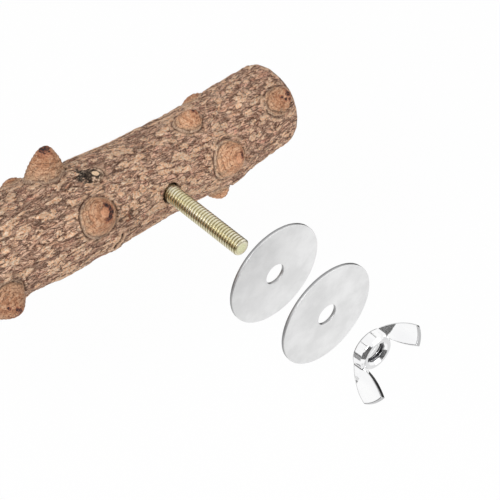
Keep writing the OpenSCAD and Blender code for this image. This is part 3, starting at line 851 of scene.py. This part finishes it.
def make_stub(material):
    profile = [*STUB_PROFILE[:-1], (0.62, 0.985), (0.5, 1.0), (0.25, 0.98), (0.04, 0.975)]
    grid, share, rise, phi, dx, dv = grown("twig_stub", STUB_PLACE, STUB_ANGLE, STUB_D / 2, STUB_H,
                                           STUB_STRETCH, 0, 0, profile, STUB_ROWS, STUB_COLS)
    rough = noise(grid * 1.3 + 4.0)
    on_bark = step(0.62, 0.75, share) * step(0.02, 0.3, rise)
    grid = grid - out_of(grid) * (0.28 * np.abs(rough) * on_bark)[..., None]
    lens = share * (1 - 0.16 * np.cos(2 * (phi + 0.94))) + 0.04 * rough
    cut = step(0.38, 0.31, lens)
    dark = np.maximum(step(-0.7, -1.7, dx - dv * 0.5 + 1.0 * rough),
                      0.95 * step(0.68, 0.52, lens + 0.16 * rough + 0.05 * dx))
    points, faces = shell(grid)
    piece = make_piece("twig_stub_cut", points, faces, "branch", material,
                       {"cut": np.concatenate([cut.ravel(), [0, 1]]),
                        "dark": np.concatenate([dark.ravel(), [0, 0]])})
    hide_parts("twig_stub")


# Bolt and washers

STUD_D, STUD_L, STUD_CHAMFER, PITCH, THREAD_DEEP = 5.9, 29.0, 0.7, 1.0, 0.58
# a thread's flat crest and its flank, as shares of half its pitch
CREST_SHARE, FLANK_SHARE = 0.14, 0.66
SHANK_D, SHANK_L, POINT_L, SCREW_PITCH, SCREW_DEEP = 5.2, 19.0, 5.0, 2.4, 0.75
SHANK_R = SHANK_D / 2 - 0.1
# where the machine thread has run out, and where the wood screw's thread starts
NECK_Y, SCREW_Y = 1.2, 4.0
INNER_WASHER_Y, OUTER_WASHER_Y, NUT_Y = -41.6, -62.1, -78.5
WASHER_T, HOLE_D, ROLL, WASHER_COLS = 1.0, 6.4, 0.2, 220


def thread_cut(turns):
    """Depth share of a thread at a phase in turns: 0 on the crest, 1 in the root."""
    f = np.abs((turns % 1.0) - 0.5) * 2
    return np.clip((f - CREST_SHARE) / FLANK_SHARE, 0, 1)


def make_bolt(material):
    top, end = -STUD_L, SHANK_L
    y = np.concatenate([np.linspace(top, NECK_Y, int((NECK_Y - top) * 15) + 1),
                        np.linspace(NECK_Y + 0.1, SCREW_Y, 8),
                        np.linspace(SCREW_Y + 0.2, end - 0.05, 130)])[:, None]
    phi = full_turn(80)
    r = STUD_D / 2 - THREAD_DEEP * thread_cut(-y / PITCH - phi / math.tau)
    # painted shade in the thread roots, which the plating's edge colour paints
    root_shade = step(0.25, 0.95, (STUD_D / 2 - r) / THREAD_DEEP) * step(0.5, -0.5, y)
    r = np.minimum(r, STUD_D / 2 - STUD_CHAMFER + (y - top))
    fade = step(-0.2, 1.1, y)
    r = r * (1 - fade) + SHANK_R * fade
    screw = SHANK_R - SCREW_DEEP * thread_cut(-y / SCREW_PITCH - phi / math.tau) * step(4.0, 5.5, y)
    r = np.where(y > NECK_Y, screw, r)
    r = np.minimum(r, 0.12 + SHANK_R * np.clip((end - y) / POINT_L, 0, 1))
    face_r = (STUD_D / 2 - STUD_CHAMFER) * np.array([0.12, 0.5, 0.86])[:, None]
    dish = np.array([0.1, 0.08, 0.03])[:, None]
    face = rings(face_r, top + dish, phi)
    points, faces = shell(np.concatenate([face, rings(r, y, phi)]), flip=True)
    edge = np.concatenate([np.zeros(face[..., 0].size), root_shade.ravel(), [0, 0]])
    tint = np.zeros(len(points))
    tint[:2 * face.shape[1]] = 1
    tint[-2] = 1
    piece = make_piece("hanger_bolt_thread", points, faces, "branch", material,
                       {"edge": edge, "tint": tint})
    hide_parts("hanger_bolt")


def make_washer(name, y, material, number):
    """A blanked washer: one face rolled over at its edges, the other with a sheared corner."""
    out_r, in_r, t = WASHER_D / 2, HOLE_D / 2, WASHER_T
    q = np.linspace(0, math.pi / 2, 7)
    profile = [(out_r - ROLL + ROLL * math.cos(v), ROLL * math.sin(v) * 0.7 + t - 0.7 * ROLL) for v in q]
    profile += [(r, t - 0.02 * math.sin(math.pi * (r - in_r) / (out_r - in_r)))
                for r in np.linspace(out_r - ROLL - 0.3, in_r + ROLL + 0.2, 16)]
    profile += [(in_r + ROLL - ROLL * math.sin(v), t - 0.7 * ROLL + 0.7 * ROLL * math.cos(v)) for v in q]
    profile += [(in_r, t * 0.45), (in_r + 0.03, 0.08), (in_r + 0.1, 0.0)]
    profile += [(r, 0.0) for r in np.linspace(in_r + 0.5, out_r - 0.5, 14)]
    profile += [(out_r - 0.1, 0.0), (out_r - 0.02, 0.07), (out_r, t * 0.4)]
    profile = np.array(profile)
    phi = full_turn(WASHER_COLS)
    r, h = profile[:, :1], profile[:, 1:]
    ring = np.stack([np.cos(phi[0]), np.sin(phi[0]), np.full(WASHER_COLS, number * 9.0)], -1)
    wobble = 1 - 0.0016 * np.abs(noise(ring * (6, 6, 1)))
    grid = rings(np.where(r > (out_r + in_r) / 2, r * wobble, r), y - h, phi)
    faces = [f[::-1] for f in grid_faces(len(profile), WASHER_COLS, closed_rows=True)]
    side = np.minimum(out_r - r, r - in_r)
    # painted shade: a dark line round the rims and the hole, darker towards the sheared face
    edge = step(0.06, 0.02, side) * (0.3 + 0.5 * step(0.75, 0.3, h / t))
    piece = make_piece(name + "_blank", grid.reshape(-1, 3), faces, name, material,
                       {"edge": np.broadcast_to(edge, grid.shape[:2])})
    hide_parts(name)


# Wing nut

HUB_BASE, HUB_TOP, HUB_H, HUB_CHAMFER = 11.5, 10.9, 3.9, 0.8
COUNTERSINK, HOLLOW_H, HOLLOW_W, ROOT_SHARE = 0.7, 1.4, 1.2, 2.4
WING_SPAN, WING_RISE, WING_W, WING_T, WING_TURN = 25.2, 12.3, 5.6, 1.7, 48
WING_LEAN, BORE_D, NUT_THREAD = 37, 6.0, 0.56
# a wing thickens by this much for each millimetre below this height
FLARE_Z, FLARE = 4.0, 0.24
# how softly the hub's edges, the wings' edges, their roots, the seat and the bore's edges are rounded
HUB_SOFT, WING_SOFT, ROOT_SOFT, SEAT_SOFT, BORE_SOFT = 0.15, 0.24, 0.45, 0.6, 0.08
# size of a cell of the surface net, the margin round the nut and half its depth
NUT_CELL, NUT_MARGIN, NUT_HALF = 0.15, 0.4, 6.2


def bezier(a, b, c, steps=14):
    t = np.linspace(0, 1, steps)[:, None]
    return np.array(a) * (1 - t) ** 2 + np.array(b) * 2 * t * (1 - t) + np.array(c) * t ** 2


def wing_outline():
    lean = math.radians(WING_LEAN)
    out = np.array([WING_SPAN / 2, WING_RISE - WING_W * math.sin(lean)])
    inn = np.array([WING_SPAN / 2 - WING_W * math.cos(lean), WING_RISE])
    low = np.array([WING_SPAN * 0.43, WING_RISE * 0.24])
    high = np.array([WING_SPAN * 0.21, WING_RISE * 0.61])
    pull = (out + inn) / 2 + WING_W * 0.2 * np.array([math.sin(lean), math.cos(lean)])
    start = np.array([HUB_BASE / 2 - HUB_CHAMFER, 0])
    end = np.array([HUB_TOP / 2 - HUB_CHAMFER / 2, HUB_H - HUB_CHAMFER])
    inside = [[HUB_TOP / 4, HUB_H - HUB_CHAMFER], [HUB_TOP / 4, 0]]
    return np.concatenate([inside, bezier(start, low, out), bezier(out, pull, inn)[1:],
                           bezier(inn, high, end)[1:]])


WING = wing_outline()
# half the thickness of a wing at places out from the axis, as in the source
WING_PLAN = bezier((HUB_TOP / 4, ROOT_SHARE * WING_T / 2), (HUB_BASE / 2, WING_T / 2),
                   (WING_SPAN / 2, WING_T / 2))


def polygon_distance(px, pz):
    """Signed distance to the wing's outline, negative inside."""
    best = np.full(px.shape, 1e9)
    inside = np.zeros(px.shape, bool)
    for (x0, z0), (x1, z1) in zip(WING, np.roll(WING, -1, 0)):
        ex, ez = x1 - x0, z1 - z0
        wx, wz = px - x0, pz - z0
        t = np.clip((wx * ex + wz * ez) / (ex * ex + ez * ez), 0, 1)
        best = np.minimum(best, (wx - ex * t) ** 2 + (wz - ez * t) ** 2)
        if ez:
            inside ^= ((z0 > pz) != (z1 > pz)) & (px < ex * (pz - z0) / ez + x0)
    return np.where(inside, -1, 1) * np.sqrt(best)


def soft_max(a, b, k):
    """The larger of two distances, with the edge between them rounded over k."""
    h = np.clip(0.5 + 0.5 * (a - b) / k, 0, 1)
    return b * (1 - h) + a * h + k * h * (1 - h)


def nut_distance(p):
    """Signed distance to the wing nut, in its own frame: wings along x, axis z, seat at 0."""
    x, y, z = p[..., 0], p[..., 1], p[..., 2]
    out = np.abs(x)
    rho = np.hypot(x, y)
    wall = rho - (HUB_BASE + (HUB_TOP - HUB_BASE) * z / HUB_H) / 2
    bevel = (rho + z - HUB_TOP / 2 - HUB_H + HUB_CHAMFER) / math.sqrt(2)
    hub = soft_max(soft_max(wall, bevel, HUB_SOFT), soft_max(-z, z - HUB_H, HUB_SOFT), HUB_SOFT)
    below = np.clip(FLARE_Z - z, 0, None)
    half_t = np.interp(out, *WING_PLAN.T) + FLARE * below ** 2 / (below + 0.4)
    # on a grid of points the outline is the same at every y
    same = (slice(None), slice(1), slice(None)) if z.ndim == 3 else slice(None)
    plate = soft_max(polygon_distance(out[same], z[same]) + 0.08, np.abs(y) - half_t, WING_SOFT)
    body = soft_max(-soft_max(-hub, -plate, ROOT_SOFT), -z, SEAT_SOFT)
    turn = np.arctan2(y, x) + math.radians(WING_TURN)
    turns = -(NUT_Y - z) / PITCH - turn / math.tau
    thread = rho - (BORE_D / 2 - NUT_THREAD * thread_cut(turns))
    sink = rho - (BORE_D / 2 + COUNTERSINK - np.abs(HUB_H - z))
    hollow = rho - (BORE_D / 2 + HOLLOW_W * (1 - z / HOLLOW_H))
    return soft_max(body, -np.minimum(thread, np.minimum(sink, hollow)), BORE_SOFT)


def surface_net(distance, low, high, cell):
    """Points and quads of the surface where distance is 0, one point per cell that it crosses."""
    axes = [np.arange(a, b + cell, cell) for a, b in zip(low, high)]
    value = distance(np.stack(np.meshgrid(*axes, indexing="ij"), -1))
    inside = value < 0
    size = tuple(n - 1 for n in inside.shape)
    total, count = np.zeros(size + (3,)), np.zeros(size)

    def part(v, offset):
        return v[tuple(slice(o, o + s) for o, s in zip(offset, size))]

    for axis, u, w in np.ndindex(3, 2, 2):
        a, b = [u, w], [u, w]
        a.insert(axis, 0)
        b.insert(axis, 1)
        va, vb = part(value, a), part(value, b)
        hit = part(inside, a) != part(inside, b)
        t = np.where(hit, va / np.where(hit, va - vb, 1), 0)
        total += (np.array(a, float) + t[..., None] * np.eye(3)[axis]) * hit[..., None]
        count += hit
    used = count > 0
    number = np.full(size, -1)
    number[used] = np.arange(used.sum())
    points = np.array(low) + (np.argwhere(used) + total[used] / count[used][:, None]) * cell
    faces, unit = [], np.eye(3, dtype=int)
    for axis in range(3):
        i, j = [other for other in range(3) if other != axis]
        a = inside.take(range(inside.shape[axis] - 1), axis)
        b = inside.take(range(1, inside.shape[axis]), axis)
        at = np.argwhere(a != b)
        at = at[(at[:, i] > 0) & (at[:, j] > 0) & (at[:, i] < size[i]) & (at[:, j] < size[j])]
        corners = [at - u * unit[i] - w * unit[j] for u, w in ((0, 0), (1, 0), (1, 1), (0, 1))]
        quad = np.stack([number[tuple(c.T)] for c in corners], 1)
        flip = a[tuple(at.T)] ^ (axis == 1)
        quad[~flip] = quad[~flip][:, ::-1]
        faces.append(quad)
    return points, np.concatenate(faces)


def nut_slope(p, eps=0.02):
    """Slope of the nut's distance at points p."""
    return np.stack([(nut_distance(p + e) - nut_distance(p - e)) / (2 * eps)
                     for e in np.eye(3) * eps], -1)


def nut_to_stud(v, at):
    """Points of the nut's own frame in the part's frame, with the seat at y = at."""
    x, y, z = v.T
    t = math.radians(WING_TURN)
    return np.stack([x * math.cos(t) - y * math.sin(t), at - z, x * math.sin(t) + y * math.cos(t)], 1)


def make_nut(material):
    reach = WING_SPAN / 2 + NUT_MARGIN
    low, high = (-reach, -NUT_HALF, -NUT_MARGIN), (reach, NUT_HALF, WING_RISE + NUT_MARGIN)
    points, faces = surface_net(nut_distance, low, high, NUT_CELL)
    for _ in range(3):
        g = nut_slope(points)
        move = nut_distance(points)[:, None] * g / np.maximum((g * g).sum(-1, keepdims=True), 0.2)
        points = points - np.clip(move, -0.07, 0.07)
    normals = nut_slope(points)
    normals /= np.maximum(np.linalg.norm(normals, axis=-1, keepdims=True), 1e-6)

    # darker where the plating sees little light: wing rims, bore, seat and the hub's face
    rho, z = np.hypot(points[:, 0], points[:, 1]), points[:, 2]
    rim = polygon_distance(np.abs(points[:, 0]), z)
    rim = step(-0.4, -0.12, rim) * step(HUB_BASE / 2, HUB_BASE / 2 + 0.8, rho)
    bore = step(BORE_D / 2 + 0.05, BORE_D / 2 - 0.15, rho)
    seat = step(0.6, 0.35, z) * step(HUB_BASE / 2 - 0.6, HUB_BASE / 2 - 0.3, rho)
    face = step(HUB_H - 0.2, HUB_H - 0.05, z) * step(HUB_TOP / 2, HUB_TOP / 2 - 0.3, rho)
    edge = np.maximum.reduce([0.5 * rim, bore, 0.62 * seat, 0.22 * face])
    piece = make_piece("wing_nut_forged", nut_to_stud(points, NUT_Y), faces.tolist(), "wing_nut",
                       material, {"edge": edge}, nut_to_stud(normals, 0.0))
    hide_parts("wing_nut")


# The pieces

make_bark(bark_look())
knob_material = knob_look()
for number, name in enumerate(KNOBS):
    make_knob(name, number, knob_material)
make_stub(stub_look())
# each metal's third colour is the painted shade on its edge field
zinc = metal_look("zinc", (238, 238, 238), (221, 221, 221), (96, 96, 98), (0.36, 0.44), 0.12, bump=0.02)
make_washer("inner_washer", INNER_WASHER_Y, zinc, 1)
make_washer("outer_washer", OUTER_WASHER_Y, zinc, 2)
make_bolt(metal_look("yellow_zinc", (240, 236, 220), (216, 206, 160), (150, 138, 100), (0.26, 0.32), 0.35,
                     tint=(224, 223, 184)))
make_nut(metal_look("bright_nickel", (252, 252, 252), (245, 245, 246), (54, 54, 58), (0.06, 0.11), 0.3))
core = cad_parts["wood_core"]
core.data.materials.clear()
core.data.materials.append(wood_look())


# Stage, light, camera, in metres

WHITE = (255, 255, 255)
FLOOR_Z, FLOOR_HALF, FLOOR_GLOW, FLOOR_ROUGH, WORLD_LIGHT = -0.11, 6.0, 0.96, 0.9, 0.52
# panels: degrees at which each starts and ends, its lower and upper edge and its shade
FAR_RING, FAR_RADIUS = (-0.02, -0.05), 0.21
FAR_PANELS = ((172, 275, -0.11, 0.05, 0.2), (-8, 38, -0.11, 0.04, 0.02), (62, 120, -0.11, 0.05, 0.1),
              (128, 168, -0.06, -0.053, 0.15), (128, 168, -0.11, -0.06, 0.22),
              (168, 194, 0.1, 0.37, 0.15), (152, 167, 0.228, 0.25, 0.12), (24, 46, 0.3, 0.335, 0.06),
              (24, 46, 0.2, 0.3, 0.55))
NEAR_RING, NEAR_RADIUS = (0, -0.08), 0.12
NEAR_PANELS = ((146, 166, -0.11, -0.055, 0.4), (225, 268, 0.025, 0.058, 0.14))
PANEL_COLUMNS = 9
# place, size and watts of each lamp, and where both point
KEY_LIGHT, FILL_LIGHT = ((-1.05, -0.5, 0.95), 0.6, 13.0), ((0.5, -1.2, 0.5), 0.9, 3.0)
LIT_PLACE = (-0.02, -0.02, 0)
# the camera as fitted to the photograph: its place, and degrees round x, y and z
CAMERA_PLACE, CAMERA_TURN = (-0.30517, -0.33408, 0.37884), (48.588, -3.571, -42.161)
LENS_MM, SENSOR_MM, CLIP = 150, 36, (0.05, 20)


def show_white(nodes, lit, white, share, output):
    """Camera, glossy and transmission rays see a share of plain white, the rest stays as lit."""
    path = nodes.tree.nodes.new("ShaderNodeLightPath").outputs
    seen = nodes.maths("MAXIMUM", path["Is Camera Ray"], path["Is Glossy Ray"])
    seen = nodes.maths("MAXIMUM", seen, path["Is Transmission Ray"])
    both = nodes.node("MixShader", 0, {0: nodes.times(seen, share), 1: lit, 2: white})
    nodes.feed(nodes.tree.nodes[output].inputs["Surface"], both)


def make_floor():
    mesh = bpy.data.meshes.new("floor")
    corners = ((-1, -1), (1, -1), (1, 1), (-1, 1))
    mesh.from_pydata([(x * FLOOR_HALF, y * FLOOR_HALF, FLOOR_Z) for x, y in corners], [], [(0, 1, 2, 3)])
    look = Look("floor", Base_Color=WHITE, Roughness=FLOOR_ROUGH)
    show_white(look, look.shader.outputs[0], look.node("Emission", 0, {}), FLOOR_GLOW, "Material Output")
    mesh.materials.append(look.material)
    floor = add_object("floor", mesh)


def make_world():
    world = bpy.data.worlds.new("studio")
    world.use_nodes = True
    bpy.context.scene.world = world
    nodes = Nodes(world.node_tree)
    lit = world.node_tree.nodes["Background"]
    nodes.feed(lit.inputs["Color"], WHITE)
    nodes.feed(lit.inputs["Strength"], WORLD_LIGHT)
    show_white(nodes, lit.outputs[0], nodes.node("Background", 0, {"Color": WHITE}), 1.0, "World Output")


def make_light(name, at, size, power):
    data = bpy.data.lights.new(name, "AREA")
    data.shape, data.size, data.energy = "SQUARE", size, power
    lamp = add_object(name, data)
    lamp.location = at
    lamp.rotation_mode = "QUATERNION"
    lamp.rotation_quaternion = (Vector(at) - Vector(LIT_PLACE)).to_track_quat("Z", "Y")


def make_flags(centre, radius, panels):
    """Dark curved panels round a place, which only reflections see."""
    points, faces, shades = [], [], []
    for start, end, low, high, shade in panels:
        for k, degrees in enumerate(np.linspace(start, end, PANEL_COLUMNS)):
            turn = math.radians(degrees)
            x, y = centre[0] + radius * math.cos(turn), centre[1] + radius * math.sin(turn)
            points += [(x, y, low), (x, y, high)]
            shades += [shade, shade]
            if k:
                n = len(points)
                faces.append((n - 4, n - 2, n - 1, n - 3))
    mesh = bpy.data.meshes.new("flags")
    mesh.from_pydata(points, [], faces)
    mesh.attributes.new("shade", "FLOAT", "POINT").data.foreach_set("value", shades)
    look = Look("flags")
    mesh.materials.append(look.done(Base_Color="shade"))
    flags = add_object("flags", mesh)
    for ray in ("camera", "diffuse", "shadow", "transmission"):
        setattr(flags, "visible_" + ray, False)


def make_camera():
    camera = bpy.data.cameras.new("camera")
    camera.lens, camera.sensor_width = LENS_MM, SENSOR_MM
    camera.clip_start, camera.clip_end = CLIP
    shot = add_object("camera", camera)
    shot.location = CAMERA_PLACE
    shot.rotation_euler = [math.radians(v) for v in CAMERA_TURN]
    bpy.context.scene.camera = shot


make_floor()
make_world()
make_flags(FAR_RING, FAR_RADIUS, FAR_PANELS)
make_flags(NEAR_RING, NEAR_RADIUS, NEAR_PANELS)
make_light("key", *KEY_LIGHT)
make_light("fill", *FILL_LIGHT)
make_camera()
bpy.context.scene.view_settings.view_transform = "Standard"

bpy.context.view_layer.update()
